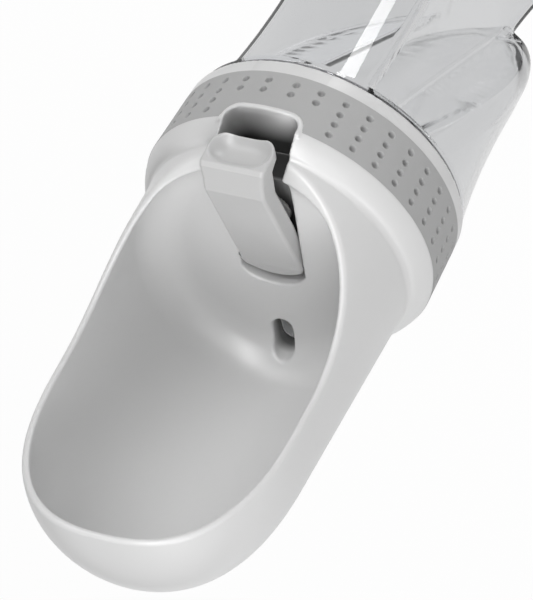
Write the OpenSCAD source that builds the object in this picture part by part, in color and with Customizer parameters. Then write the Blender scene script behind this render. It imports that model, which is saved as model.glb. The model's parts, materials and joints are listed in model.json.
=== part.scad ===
// Dog travel water bottle: a clear squeeze-shaped bottle that screws into a drinking head.
// The head is one moulding, a banded collar and a scoop bowl. A thumb lever in a trough of
// its floor lifts a spring-loaded valve, and water runs up a duct into the back of the bowl.
// The origin is the centre of the base, +Z is up the axis and the bowl opens toward -Y.

/* [Bottle] */
// Height of the bottle from its base to the seam under the head
bottle_h = 137; // [125:1:165]
// How far the bottle's lip stands inside the collar's face
lip_in = 1.7; // [1:0.1:2.5]
// How far the bottle's straight side stands inside its lip
flare = 2.8; // [1.5:0.1:4]
// Thickness of the lip
lip_t = 1.5; // [1:0.1:2.5]
// Length over which the bottle flares out to its lip
flare_h = 32; // [20:1:45]
// Thickness of the bottle wall
bottle_wall = 1.6; // [1.2:0.1:2.2]
// Thickness of the bottle base
base_t = 2.2; // [1.6:0.1:4]
// Radius of the rounded edge of the base
base_round = 8; // [5:0.5:12]
// Width of the flat ring that the bottle stands on, measured from the rounded edge
stand_w = 3.5; // [2:0.5:6]
// Rise of the domed middle of the base
punt_h = 2.5; // [1:0.5:5]
// How far the neck stands inside the collar's face
neck_in = 8; // [7.8:0.1:9]
// Thickness of the neck wall
neck_wall = 2.4; // [1.8:0.1:3]
// Height of the neck above the seam
neck_h = 9; // [8:0.5:10]

/* [Grip hollows] */
// Half of the thickness that is left between the two hollows, at their front edge
grip_half = 17; // [14:0.5:20]
// Angle by which the floor of each hollow closes in toward the back
grip_tilt = 5; // [0:0.5:8]
// Radius of the round lobe that closes each hollow under the head
lobe_r = 62.5; // [55:0.5:70]
// How far behind the axis the centre of that lobe lies
lobe_back = 40; // [34:0.5:46]
// How far under the seam the centre of that lobe lies
lobe_drop = 5; // [0:0.5:10]
// Radius that blends a hollow into its lobe
grip_blend = 16; // [10:0.5:18]
// Radius of the long curve in which a hollow runs out toward the foot
foot_blend = 70; // [50:1:80]
// Height of the deepest and straightest part of the hollows over the base
foot_h = 66; // [60:1:72]

/* [Collar] */
// Outer diameter of the collar
collar_d = 75; // [73:0.5:78]
// Reduction of the collar's radius at its lower edge
collar_draft = 0.9; // [0.4:0.1:1.4]
// Height of the pale ring under the grip band
ring_h = 3.9; // [3:0.1:6]
// Height of the grip band
band_h = 15.9; // [12:0.1:17]
// Thickness of the grip band
band_t = 1.2; // [0.8:0.1:1.6]
// Height of the shoulder's upright part above the band
shoulder_side = 3.4; // [2:0.1:5]
// How far that part leans in
shoulder_lean = 0.7; // [0:0.1:1.5]
// Radius of the shoulder's edge
shoulder_r = 2; // [0.5:0.1:3]
// Thickness of the collar wall behind the band
collar_wall = 3.3; // [2.6:0.1:3.6]

/* [Bowl] */
// How far the bowl's wall stands inside the collar's face
bowl_in = 3.4; // [2.5:0.1:4.5]
// Height of the tapering part of the bowl above the seam
bowl_h = 78; // [70:1:95]
// Reduction of the bowl's radius over that height
bowl_taper = 1; // [0.5:0.1:2]
// Height of the domed end
dome_h = 45.3; // [38:0.5:52]
// Squareness of the dome, where 2 is an ellipse
dome_n = 2.6; // [2:0.1:3]
// Thickness of the bowl wall
bowl_wall = 1.8; // [1.4:0.1:2.4]
// Height of the bowl floor above the seam, on the axis
floor_z = 30.3; // [29:0.1:33]
// Slope of the bowl floor, rising toward the back
floor_tilt = 8; // [5:0.5:9]
// Thickness of the bowl floor
floor_t = 2.2; // [1.8:0.1:2.6]
// Radius between the bowl floor and its wall
floor_round = 9; // [5:0.5:12]
// Depth of the side walls at the rim's straight end, in front of the axis
rim_front = 5.9; // [2:0.1:10]

/* [Lever] */
// Width of the lever
lever_w = 16.2; // [13:0.2:17]
// Swing of the lever from closed to pressed
lever_swing = 10; // [6:0.5:11]
// How far behind the axis the lever pin lies
pin_back = 1; // [0:0.5:3]
// Height of the lever pin above the seam
pin_z = 28.4; // [27.8:0.1:28.8]
// How far the lever reaches behind its pin
lever_tail = 5.1; // [4.5:0.1:6]
// Diameter of the lever pin
pin_d = 2.5; // [2:0.1:3]
// Length of the lever pin
pin_l = 20.8; // [20:0.2:23]
// Thickness of the lever's skin and its sides
lever_t = 1.6; // [1.2:0.1:2]
// Gap between the lever and each side of its trough
lever_gap = 0.3; // [0.3:0.1:0.8]
// Gap between the lever's inner end and the end of its trough
tail_gap = 1.5; // [1:0.1:2.5]
// Radius of the thumb's pad in the lever's outer face
pad_r = 5.2; // [4:0.1:7]
// Depth of that pad
pad_deep = 2.4; // [1:0.1:3]
// Width of the raised rim round the lever's arch in the collar
arch_rim = 1.5; // [1:0.1:2.5]
// Height of the arch's lower edge above the seam
arch_z = 16.5; // [15.5:0.1:18]
// Thickness of the trough's floor and sides
trough_wall = 1.6; // [1.2:0.1:2]

/* [Valve] */
// How far in front of the axis the valve lies
valve_front = 12; // [10:0.5:14]
// Diameter of the valve stem
stem_d = 4; // [3:0.1:5]
// Diameter of the water port in the inner lid
port_d = 9; // [7:0.5:10]
// Width of the sealing rim round the port
seat_w = 1.2; // [0.8:0.1:1.6]
// Height of the sealing rim above the lid
seat_h = 0.8; // [0.5:0.1:1.2]
// Thickness of the valve's rubber disc
disc_t = 1.5; // [1:0.1:2]
// Thickness of the plunger's flange
flange_t = 1.5; // [1:0.1:2]
// Thickness of the stem's rubber seal
stem_seal_t = 1.2; // [1:0.1:1.4]
// Width of that seal round the stem
stem_seal_w = 1.7; // [1.3:0.1:2.2]
// Thickness of the washer that keeps the seal in
retainer_t = 0.9; // [0.6:0.1:1.1]
// Thickness of the lever's fork under the stem screw's head
fork_t = 1.3; // [1:0.1:1.5]
// Thickness of the stem screw's head
screw_head_t = 1; // [0.8:0.1:1.2]
// Thickness of the spring wire
wire_d = 0.6; // [0.4:0.05:0.7]
// Number of turns of the spring
spring_turns = 3; // [2:1:3]

/* [Inner lid and duct] */
// Thickness of the inner lid's disc
lid_t = 2.5; // [2:0.1:3]
// Thickness of the neck gasket
gasket_t = 1; // [0.8:0.1:1.6]
// Thickness of the inner lid's skirt
skirt_t = 2; // [1.6:0.1:2.2]
// Inner height of the water duct
duct_h = 8.5; // [8:0.1:9]
// Inner width of the water duct
duct_w = 14.5; // [14:0.1:15]
// Thickness of the duct's walls
duct_wall = 1.6; // [1.2:0.1:2]
// Thickness of the gasket under the duct
duct_gasket_t = 0.8; // [0.6:0.1:1.2]
// Diameter of the screws that hold the duct down
screw_d = 2; // [1.6:0.1:2.2]
// Depth of those screws in the lid
screw_in = 1.9; // [1.4:0.1:2]
// Height of the snap lugs that hold the lid in the collar
lug_h = 2.4; // [1.8:0.1:3]
// How far the snap lugs stand out of the collar's wall
lug_out = 0.7; // [0.4:0.1:0.9]
// Number of the snap lugs, and of the keys between them
lug_n = 4; // [3:1:6]
// Width of the keys that stop the lid turning in the collar
key_w = 5; // [3:0.5:8]
// Width of the outlet slot
outlet_w = 5.4; // [4:0.2:6]
// Length of the outlet slot
outlet_l = 10.5; // [8:0.5:11]
// Thickness of the screws' ears on the duct
ear_t = 2; // [1.5:0.1:2.5]
// Radius of those ears
ear_r = 3.2; // [3:0.1:3.6]
// Thickness of the duct seal
duct_seal_t = 1.5; // [1:0.1:2]

/* [Fits] */
// Clearance between the bottle's neck and the lid's skirt
thread_gap = 0.35; // [0.3:0.05:0.5]
// Clearance between parts that are assembled and don't move
fit_gap = 0.05; // [0.03:0.01:0.1]
// Radial clearance of a running fit
run_gap = 0.05; // [0.02:0.01:0.09]
// Gap between the bottle's lip and the head
seam_gap = 0.5; // [0.4:0.05:0.8]

/* [Hidden] */
$fn = 96;

// How far a cut runs past the face that it opens
past = 1;
// A size beyond the whole part
far = 200;

collar_r = collar_d / 2;
lip_r = collar_r - lip_in;
bottle_r = lip_r - flare;
neck_r = collar_r - neck_in;
neck_bore = neck_r - neck_wall;
bowl_r = collar_r - bowl_in;

// Levels of the bottle's lip
lip_top = bottle_h - seam_gap;
lip_z = lip_top - lip_t;

// Levels in the head, above the seam
band_top = ring_h + band_h;
shoulder_z = band_top;
shoulder_edge = [collar_r - shoulder_lean, shoulder_z + shoulder_side];
shoulder_top = shoulder_edge[1] + shoulder_edge[0] - bowl_r;
side_a = atan(shoulder_lean / shoulder_side);
lid_z = neck_h + gasket_t;
lid_top = lid_z + lid_t;
duct_base = lid_top + duct_gasket_t;
duct_roof = lid_top + duct_h;
duct_top = duct_roof + duct_wall;
duct_free = 0.4;
trough_floor = duct_top + duct_free + trough_wall;

// Radii inside the head
groove_r = collar_r - band_t - collar_draft;
chamber_r = groove_r - collar_wall + collar_draft;
skirt_in_r = neck_r + thread_gap;
skirt_r = skirt_in_r + skirt_t;
skirt_z = 0.6;
lid_r = chamber_r - fit_gap;
ledge_r = lid_r - 1.5;

// The duct, which reaches as far back as the ledge lets it
duct_r = duct_w / 2;
duct_end = ledge_r - 0.4 - duct_wall - duct_r;
outlet_back = duct_end + duct_r - 0.3 - outlet_l / 2;

// The lever's lift of the valve, and its levels with the lever pressed
lever_arm = pin_back + valve_front;
lift = lever_arm * sin(lever_swing);
seat_z = lid_top + seat_h;
disc_z = seat_z + lift;
flange_z = disc_z + disc_t;
flange_r = port_d / 2 + seat_w + 0.6;
stem_r = stem_d / 2;
fork_z = pin_z + 0.3;
fork_gap = stem_r + 0.4;
fork_reach = 4;
head_z = fork_z + fork_t + 0.3;
head_r = stem_r + 1.3;
stem_screw_r = 0.85;
stem_screw_in = 5;

// The lever and its trough
lever_x = lever_w / 2;
slot_x = lever_x + lever_gap;
arch_x = slot_x + 1;
arch_round = 3;
pin_r = pin_d / 2;
boss_r = pin_r + 1.5;
slot_back = pin_back + lever_tail + tail_gap;
slot_end_r = slot_x + 2;
well_back = valve_front + duct_r + duct_wall + duct_free + trough_wall;

// Points of the lever's side view, pressed
lever_in = [pin_back + lever_tail, pin_z + 1.3];
lever_bend = [-collar_r + 7.6, pin_z + 9.2];
lever_lip = [-collar_r + 0.8, pin_z + 7.9];
tongue_y = collar_r + 1.3;
tongue_z = arch_z + 8.9;
tongue_t = 2.2;
tongue_round = 5;
lever_end_r = 12;
pad_y = -tongue_y + 0.6 - pad_r + pad_deep;
pad_z = pin_z + 1.9;

// The duct's spigot under the outlet
spigot_t = 1.5;
duct_seal_z = floor_z - 1.3 - duct_seal_t;

// The stem's gland, on top of the duct
gland_top = trough_floor;
gland_z = gland_top - retainer_t - stem_seal_t;
seal_r = stem_r + stem_seal_w;
gland_r = seal_r + 1.2;

// The duct's screws
screw_r = screw_d / 2;
screw_bore_r = screw_r * 0.95;
screw_x = duct_r + duct_wall + ear_r - 0.7;
screw_head_h = 1.2;

// ---------- curves ----------

// A point of a cubic Bezier curve
function bezier(p, t) = p[0] * pow(1 - t, 3) + p[1] * 3 * t * pow(1 - t, 2)
    + p[2] * 3 * t * t * (1 - t) + p[3] * pow(t, 3);

// Points of an arc from angle a to angle b
function arc(c, r, a, b, n = 12) = [for (i = [0:n]) c + r * [cos(a + (b - a) * i / n),
    sin(a + (b - a) * i / n)]];

// Points of the bowl's profile, from the height z0 to the tip, for a wall inset by t
function bowl_points(z0, t = 0, n = 20) = let(r0 = bowl_r - t, r1 = bowl_r - bowl_taper - t)
    concat([[r0 + bowl_taper * 0.4 * (shoulder_z - z0) / bowl_h, z0]],
        [for (i = [0:n]) let(a = 90 * i / n)
            [r1 * pow(cos(a), 2 / dome_n), bowl_h + (dome_h - t) * pow(sin(a), 2 / dome_n)]]);

// Height of the bowl floor at the depth y
function floor_at(y) = floor_z + y * tan(floor_tilt);

// The side view of everything in front of the rim, in depth and height: it rises from above
// the shoulder, bends into the straight front of the side walls, and leans a little at the tip
rim_up = 5.7;
rim_lead = [13.2, 11];
rim_lean = 1.6;
rim_start = [-bowl_r, shoulder_z + rim_up];
rim_end = [-rim_front, bowl_h - 3];
rim_bend = [rim_start, rim_start + rim_lead, rim_end - [0.6, 23], rim_end];
rim_points = concat([for (i = [0:14]) bezier(rim_bend, i / 14)],
    [[-rim_front + rim_lean, bowl_h + dome_h + past]]);

// ---------- helpers ----------

module at_head() translate([0, 0, bottle_h]) children();
module at_stem() at_head() translate([0, -valve_front, 0]) children();
module at_pin() translate([0, pin_back, pin_z]) rotate([0, 90, 0]) children();

// Extrudes a side view, in depth and height, to w on each side of the middle
module side_view(w) rotate([90, 0, 90]) translate([0, 0, -w]) linear_extrude(2 * w) children();

// A slot outline, w wide and l long in depth
module slot_outline(w, l) {
    square([w, l - w], center = true);
    for (side = [-1, 1]) translate([0, side * (l - w) / 2]) circle(d = w);
}

// A rounded rectangle seen from the front, open at its top
module arch_outline(half, low, r) {
    translate([-half, low + r]) square([2 * half, far]);
    translate([-half + r, low]) square([2 * (half - r), far]);
    for (side = [-1, 1]) translate([side * (half - r), low + r]) circle(r);
}

// A prism of a front outline, from the depth y0 to y1
module front_prism(y0, y1) translate([0, y1, 0]) rotate([90, 0, 0]) linear_extrude(y1 - y0)
    children();

// A helical wire from z = 0 to h
module coil(r, h, d, turns, sides = 8) {
    steps = turns * 20;
    function ring(i) = let(a = 360 * turns * i / steps, z = d / 2 + (h - d) * i / steps)
        [for (k = [0:sides - 1]) let(b = 360 * k / sides)
            [(r + d / 2 * cos(b)) * cos(a), (r + d / 2 * cos(b)) * sin(a), z + d / 2 * sin(b)]];
    points = [for (i = [0:steps]) each ring(i)];
    sides_faces = [for (i = [0:steps - 1], k = [0:sides - 1]) let(j = (k + 1) % sides)
        [i * sides + k, i * sides + j, (i + 1) * sides + j, (i + 1) * sides + k]];
    first = [for (k = [sides - 1:-1:0]) k];
    last = [for (k = [0:sides - 1]) steps * sides + k];
    polyhedron(points, concat(sides_faces, [first, last]), convexity = 6);
}

// ---------- bottle ----------

// Half of the bottle's side view, with its faces moved in by t and the points in top after its flare
module bottle_outline(t, floor_z, middle_z, top) {
    flare_r = (pow(flare_h, 2) + pow(flare, 2)) / (2 * flare);
    start = lip_z - flare_h;
    rise = flare_h + min(0, lip_t - t);
    end_a = asin(rise / (flare_r + t));
    polygon(concat([[0, middle_z], [bottle_r - base_round - stand_w, floor_z]],
        arc([bottle_r - base_round, base_round], base_round - t, -90, 0, 8),
        arc([bottle_r + flare_r, start], flare_r + t, 180, 180 - end_a, 6), top));
}

// Moves to the front edge of a hollow's floor, where +X leads out of the bottle
module at_floor() translate([grip_half, -bottle_r, 0]) rotate([0, 0, grip_tilt]) children();

// What a hollow takes away on the side +X, with its faces moved in by t
module grip_hollow(t) {
    lobe_x = grip_half - t + grip_blend;
    top = lip_z - lip_t + t;
    difference() {
        at_floor() union() {
            translate([-t, -bottle_r, foot_h]) cube([far, far, top - foot_h]);
            translate([foot_blend, -bottle_r, foot_h]) rotate([-90, 0, 0])
                cylinder(r = foot_blend + t, h = far);
        }
        translate([0, 0, top]) cylinder(r = far, h = far);
        translate([0, lobe_back, bottle_h - lobe_drop]) rotate([0, 90, 0]) rotate_extrude()
            polygon(concat([[0, grip_half - t - past - far * sin(grip_tilt) / 2],
                [lobe_r - t + grip_blend, grip_half - t - past - far * sin(grip_tilt) / 2]],
                arc([lobe_r - t + grip_blend, lobe_x], grip_blend, 270, 180, 6),
                [[lobe_r - t, far], [0, far]]));
    }
}

module grip_hollows(t) for (side = [0, 1]) mirror([side, 0, 0]) grip_hollow(t);

module bottle() color([0.86, 0.88, 0.9, 0.5]) difference() {
    rotate_extrude() bottle_outline(0, 0, punt_h, [[lip_r, lip_top], [neck_r, lip_top],
        [neck_r, bottle_h + neck_h], [0, bottle_h + neck_h]]);
    grip_hollows(0);
    difference() {
        rotate_extrude() bottle_outline(bottle_wall, base_t, base_t + punt_h,
            [[0, lip_z + min(0, lip_t - bottle_wall)]]);
        grip_hollows(bottle_wall);
    }
    translate([0, 0, lip_top - bottle_wall - past]) cylinder(r = neck_bore, h = far);
}

module neck_gasket() color("white") at_head() translate([0, 0, neck_h]) difference() {
    cylinder(r = neck_r - 0.2, h = gasket_t);
    translate([0, 0, -past]) cylinder(r = neck_bore - 0.4, h = gasket_t + 2 * past);
}

// ---------- drinking bowl, with its collar ----------

// A drafted side, an edge, and a slope of 45 degrees up to the bowl's wall
module collar_body() rotate_extrude() difference() {
    polygon(concat([[0, 0], [collar_r - collar_draft, 0], [collar_r, shoulder_z]],
        arc(shoulder_edge - shoulder_r / cos((45 - side_a) / 2)
            * [cos((45 + side_a) / 2), sin((45 + side_a) / 2)], shoulder_r, side_a, 45, 4),
        [[bowl_r, shoulder_top], [0, shoulder_top]]));
    translate([groove_r, ring_h]) square([far, band_h]);
}

module arch_frame() intersection() {
    front_prism(-collar_r - past, -groove_r + 2) arch_outline(arch_x + arch_rim, arch_z - arch_rim,
        arch_round + arch_rim);
    cylinder(r = collar_r + 0.3, h = shoulder_z + past);
}

module bowl_body() intersection() {
    rotate_extrude() polygon(concat([[0, shoulder_z]], bowl_points(shoulder_z)));
    difference() {
        translate([0, 0, far / 2]) cube(far, center = true);
        side_view(far / 2) polygon(concat(rim_points, [[-far, bowl_h + dome_h + past],
            [-far, rim_start[1]]]));
    }
}

// The space in the bowl, above its sloping floor
module bowl_space() intersection() {
    rotate_extrude() polygon(concat([[0, shoulder_z - 5]], bowl_points(shoulder_z - 5, bowl_wall)));
    on_floor() {
        rotate_extrude() {
            pan_r = bowl_r - bowl_wall + 1;
            polygon(concat([[0, 0]], arc([pan_r - floor_round, floor_round], floor_round, -90, 0, 8),
                [[pan_r, floor_round + past], [0, floor_round + past]]));
        }
        translate([-far / 2, -far / 2, floor_round]) cube(far);
        // The front has no wall, so there the floor runs out flat to the shoulder
        translate([-far / 2, -far - bowl_r / 2, 0]) cube(far);
    }
}

// Moves to the bowl's sloping floor
module on_floor() translate([0, 0, floor_z]) rotate([floor_tilt, 0, 0]) children();

// Everything deeper than t under that floor
module under_floor(t) on_floor() translate([-far / 2, -far / 2, -far - t]) cube(far);

// The space in the collar that takes the inner lid and the duct
module collar_space() intersection() {
    rotate_extrude() polygon([[0, -past], [chamber_r, -past], [chamber_r, lid_top], [ledge_r, lid_top],
        [ledge_r, bowl_h], [0, bowl_h]]);
    under_floor(floor_t);
}

// The lever's trough from the side, grown by t: a deep well behind the arch, then the duct's top
module trough_side(t) polygon([[-far / 4, arch_z - t], [-well_back + t, arch_z - t],
    [-well_back + t, trough_floor - t], [slot_back + t, trough_floor - t],
    [slot_back + t, floor_z + 6 + t], [-far / 4, floor_z + 6 + t]]);

// The lever's trough from above, grown by t, with its round inner end
module trough_plan(t) round_end(slot_x + t, slot_back + t, slot_end_r + t);

// A strip seen from above, with half the width w and a round end of radius r at the depth y
module round_end(w, y, r) intersection() {
    translate([-w, -far / 4]) square([2 * w, far / 4 + y]);
    union() {
        translate([0, y - r]) circle(r);
        translate([-far / 2, y - r - far]) square([far, far]);
    }
}

module trough(t) intersection() {
    side_view(far / 2) trough_side(t);
    linear_extrude(far) trough_plan(t);
}

// The tube on the duct that fits the outlet, grown by t
module spigot_outline(t) translate([0, outlet_back])
    slot_outline(outlet_w + 2 * spigot_t + t, outlet_l + 2 * spigot_t + t);

module outlet_boss() intersection() {
    translate([0, 0, duct_seal_z + duct_seal_t]) linear_extrude(far) spigot_outline(1);
    collar_inside();
}

// Everything that inner walls and bosses may fill: the collar under the bowl's floor
module collar_inside() intersection() {
    cylinder(r = ledge_r + 0.5, h = far);
    under_floor(floor_t / 2);
}

// Lugs that the inner lid snaps over
module lid_lugs() for (i = [0:lug_n - 1]) rotate([0, 0, 360 / lug_n * (i + 0.5) - 8])
    rotate_extrude(angle = 16) polygon([[chamber_r + 0.5, lid_z - fit_gap],
        [chamber_r - lug_out, lid_z - fit_gap], [chamber_r + 0.5, lid_z - lug_h]]);

// Keys that stop the lid turning, or their notches with a clearance of t
module lid_keys(t) for (i = [0:lug_n - 1]) rotate([0, 0, 360 / lug_n * i])
    translate([ledge_r - t, -key_w / 2 - t, lid_z - t])
        cube([chamber_r - ledge_r + 0.5 + 2 * t, key_w + 2 * t, lid_t + 2 * t]);

module drinking_bowl() color([0.83, 0.83, 0.83]) at_head() difference() {
    union() {
        difference() {
            union() {
                collar_body();
                arch_frame();
                bowl_body();
            }
            bowl_space();
            collar_space();
        }
        intersection() {
            trough(trough_wall);
            collar_inside();
        }
        outlet_boss();
        intersection() {
            lid_lugs();
            cylinder(r = chamber_r + 0.5, h = far);
        }
        intersection() {
            lid_keys(0);
            cylinder(r = chamber_r + 0.5, h = far);
        }
    }
    trough(0);
    // The arch through the collar
    front_prism(-collar_r - past, -groove_r + collar_wall) arch_outline(arch_x, arch_z, arch_round);
    // The stem's gland
    translate([0, -valve_front, 0]) cylinder(r = gland_r + 0.3, h = floor_z);
    // The outlet
    translate([0, outlet_back, 0]) linear_extrude(bowl_h / 2) slot_outline(outlet_w, outlet_l);
    // The pin's bores
    at_pin() cylinder(r = pin_r + fit_gap, h = pin_l + 0.2, center = true);
}

module grip_band() color([0.66, 0.66, 0.66]) at_head() difference() {
    rotate_extrude() polygon([[groove_r + fit_gap, ring_h + fit_gap],
        [collar_r - collar_draft * (1 - ring_h / band_top), ring_h + fit_gap],
        [collar_r, band_top - fit_gap], [groove_r + fit_gap, band_top - fit_gap]]);
    front_prism(-collar_r - past, -groove_r / 2) arch_outline(arch_x + arch_rim + fit_gap,
        arch_z - arch_rim - fit_gap, arch_round + arch_rim);
}

// ---------- inner lid, duct and seals ----------

module inner_lid() color("white") at_head() difference() {
    union() {
        rotate_extrude() polygon([[0, lid_z], [skirt_in_r, lid_z], [skirt_in_r, skirt_z],
            [skirt_r - 0.5, skirt_z], [skirt_r, skirt_z + 0.5], [skirt_r, lid_z], [lid_r, lid_z],
            [lid_r, lid_top], [0, lid_top]]);
        translate([0, -valve_front, lid_z]) cylinder(r = port_d / 2 + seat_w, h = lid_t + seat_h);
        duct_screw_places() translate([0, 0, lid_z]) cylinder(r = screw_r + 1.4, h = lid_t);
    }
    translate([0, -valve_front, 0]) cylinder(d = port_d, h = far);
    lid_keys(0.2);
    duct_screw_places() translate([0, 0, lid_top - screw_in]) cylinder(r = screw_bore_r, h = far);
}

// The duct's plan: a round end over the port, and a straight run to the outlet
module duct_plan(t) {
    for (y = [-valve_front, duct_end]) translate([0, y]) circle(duct_r + t);
    translate([-duct_r - t, -valve_front]) square([2 * (duct_r + t), valve_front + duct_end]);
}

module duct_screw_places() for (side = [-1, 1], y = [-valve_front / 3, outlet_back - 6])
    translate([side * screw_x, y, 0]) children();

module duct_gasket() color([0.9, 0.9, 0.9]) at_head() translate([0, 0, lid_top])
    linear_extrude(duct_gasket_t) difference() {
        duct_plan(duct_wall);
        duct_plan(0.2);
    }

module duct_cover() color("white") at_head() difference() {
    union() {
        translate([0, 0, duct_base]) linear_extrude(duct_top - duct_base) duct_plan(duct_wall);
        duct_screw_places() translate([0, 0, duct_base]) cylinder(r = ear_r, h = ear_t);
        translate([0, -valve_front, duct_top - past])
            cylinder(r = gland_r, h = past + gland_top - duct_top);
        translate([0, 0, duct_top - past]) linear_extrude(duct_seal_z - duct_top + past)
            spigot_outline(0);
    }
    translate([0, 0, duct_base - past]) linear_extrude(duct_roof - duct_base + past) duct_plan(0);
    translate([0, outlet_back, duct_base]) linear_extrude(far) slot_outline(outlet_w, outlet_l);
    translate([0, -valve_front, 0]) cylinder(r = stem_r + run_gap, h = far);
    translate([0, -valve_front, gland_z]) cylinder(r = seal_r + fit_gap, h = far);
    duct_screw_places() cylinder(r = screw_r + 0.15, h = far);
}

// A flat ring on the stem's axis, from the height z
module stem_ring(z, r, bore_r, h) at_stem() translate([0, 0, z]) difference() {
    cylinder(r = r, h = h);
    translate([0, 0, -past]) cylinder(r = bore_r, h = h + 2 * past);
}

module stem_seal() color([0.25, 0.25, 0.25]) stem_ring(gland_z, seal_r, stem_r + run_gap, stem_seal_t);

module seal_retainer() color("white") stem_ring(gland_z + stem_seal_t, seal_r, stem_r + 0.3, retainer_t);

module duct_seal() color([0.9, 0.9, 0.9]) at_head() translate([0, 0, duct_seal_z])
    linear_extrude(duct_seal_t) difference() {
        spigot_outline(0);
        translate([0, outlet_back]) slot_outline(outlet_w, outlet_l);
    }

// A cross recess in the top of a screw's head, for a driver that reaches out to r
module cross_recess(r) for (a = [0, 90]) rotate([0, 0, a]) translate([-r / 4, -r, 0])
    cube([r / 2, 2 * r, past]);

module duct_screws() color("silver") at_head() duct_screw_places() {
    translate([0, 0, lid_top - screw_in + 0.2])
        cylinder(r = screw_bore_r - 0.02, h = screw_in - 0.2 + duct_gasket_t + ear_t);
    translate([0, 0, duct_base + ear_t]) difference() {
        cylinder(r1 = screw_r * 1.9, r2 = screw_r * 1.5, h = screw_head_h);
        translate([0, 0, screw_head_h / 2]) cross_recess(screw_r);
    }
}

// ---------- valve ----------

module valve_plunger() color("white") at_stem() difference() {
    union() {
        translate([0, 0, flange_z]) cylinder(r = flange_r, h = flange_t);
        translate([0, 0, disc_z - past]) cylinder(r = stem_r, h = head_z - disc_z + past);
        // The collar under the rubber disc
        translate([0, 0, disc_z - past]) cylinder(r = stem_r + 0.7, h = past - 0.1);
    }
    translate([0, 0, head_z - stem_screw_in - past]) cylinder(r = stem_screw_r + fit_gap, h = far);
}

module valve_disc() color([0.3, 0.3, 0.3])
    stem_ring(disc_z, flange_r + 0.2, stem_r + fit_gap, disc_t);

module plunger_spring() color("silver") at_stem() translate([0, 0, flange_z + flange_t])
    coil(stem_r + 1.6, duct_roof - flange_z - flange_t, wire_d, spring_turns);

module stem_screw() color("silver") at_stem() translate([0, 0, head_z]) {
    difference() {
        cylinder(r1 = head_r, r2 = head_r - 0.4, h = screw_head_t);
        translate([0, 0, screw_head_t * 0.6]) cross_recess(head_r / 2.5);
    }
    translate([0, 0, -stem_screw_in]) cylinder(r = stem_screw_r, h = stem_screw_in);
}

// ---------- lever ----------

// The lever from the side, pressed, with the thumb's pad under its lip
module lever_side() {
    polygon([lever_in, lever_bend, lever_lip, lever_lip - [1, 0.9], [-tongue_y, tongue_z],
        [-tongue_y + tongue_t, tongue_z], [-tongue_y + 4.2, pin_z + 0.8],
        [-tongue_y + 5.4, pin_z + 2.4], [lever_bend[0] + 2.2, pin_z + 3.3],
        [-valve_front, pin_z - 0.2], [pin_back - boss_r, pin_z - 1.4], [lever_in[0], pin_z - 0.4]]);
    translate([pin_back, pin_z]) circle(boss_r);
}

module pad_side(t) translate([pad_y, pad_z]) circle(pad_r + t);

// The hollow under the lever's skin
module lever_hollow() difference() {
    polygon([[pin_back - boss_r - 1, pin_z - 4], [pin_back - boss_r - 1, pin_z + 2],
        lever_bend + [1, -lever_t - 0.1], lever_lip + [2.6, -lever_t], [-collar_r, pin_z - 4]]);
    pad_side(lever_t);
    polygon([[-far, -far], [-tongue_y + tongue_t, -far], [-tongue_y + tongue_t, tongue_z],
        [-tongue_y + 3.4, pin_z + 3], [-tongue_y + 3.4, far], [-far, far]]);
}

// Places the fork that lifts the valve: it leans as far one way pressed as the other way closed
module at_fork() translate([0, -valve_front, fork_z]) rotate([-lever_swing / 2, 0, 0]) children();

module thumb_lever() color([0.8, 0.8, 0.8]) at_head() difference() {
    intersection() {
        union() {
            difference() {
                side_view(lever_x) lever_side();
                side_view(lever_x - lever_t) lever_hollow();
                side_view(lever_x - lever_t) pad_side(0);
            }
            at_fork() translate([-lever_x + past, -fork_reach, 0])
                cube([2 * (lever_x - past), 2 * fork_reach, fork_t]);
        }
        linear_extrude(far) round_end(lever_x, lever_in[0], lever_end_r);
        // The rounded end of the tongue
        front_prism(-far / 2, far / 2) arch_outline(lever_x, tongue_z, tongue_round);
    }
    // The fork's slot, open toward the pin so that the stem can be slid in
    at_fork() translate([0, 0, -past]) {
        cylinder(r = fork_gap, h = fork_t + 2 * past);
        translate([-fork_gap, 0, 0]) cube([2 * fork_gap, fork_reach + past, fork_t + 2 * past]);
    }
    at_pin() cylinder(r = pin_r + run_gap, h = far, center = true);
}

module lever_pin() color("silver") at_head() at_pin() cylinder(r = pin_r, h = pin_l, center = true);

bottle();
neck_gasket();
drinking_bowl();
grip_band();
inner_lid();
duct_cover();
duct_gasket();
duct_seal();
duct_screws();
stem_seal();
seal_retainer();
valve_plunger();
valve_disc();
plunger_spring();
stem_screw();
thumb_lever();
lever_pin();
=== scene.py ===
"""Dog travel water bottle: the looks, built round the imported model.

The moulded pieces are implicit surfaces in millimetres, joined with rounded unions and cuts as a
moulding is, meshed by a surface net and pulled onto the exact surface, with its true normals."""
import json
import math

import bpy
import numpy as np
from mathutils import Matrix, Vector


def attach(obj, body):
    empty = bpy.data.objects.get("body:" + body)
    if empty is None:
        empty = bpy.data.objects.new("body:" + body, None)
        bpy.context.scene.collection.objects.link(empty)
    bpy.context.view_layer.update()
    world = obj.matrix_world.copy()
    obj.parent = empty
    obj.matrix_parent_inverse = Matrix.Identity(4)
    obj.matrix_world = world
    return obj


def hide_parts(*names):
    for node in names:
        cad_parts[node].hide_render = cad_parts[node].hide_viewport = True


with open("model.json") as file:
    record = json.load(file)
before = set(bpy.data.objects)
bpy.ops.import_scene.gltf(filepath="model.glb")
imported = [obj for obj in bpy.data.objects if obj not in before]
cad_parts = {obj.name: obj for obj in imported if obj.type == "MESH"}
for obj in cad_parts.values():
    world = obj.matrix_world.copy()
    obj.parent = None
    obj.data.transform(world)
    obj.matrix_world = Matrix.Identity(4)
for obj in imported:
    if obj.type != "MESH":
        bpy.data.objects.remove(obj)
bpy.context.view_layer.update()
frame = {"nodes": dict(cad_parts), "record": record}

MM = 0.001
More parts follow.
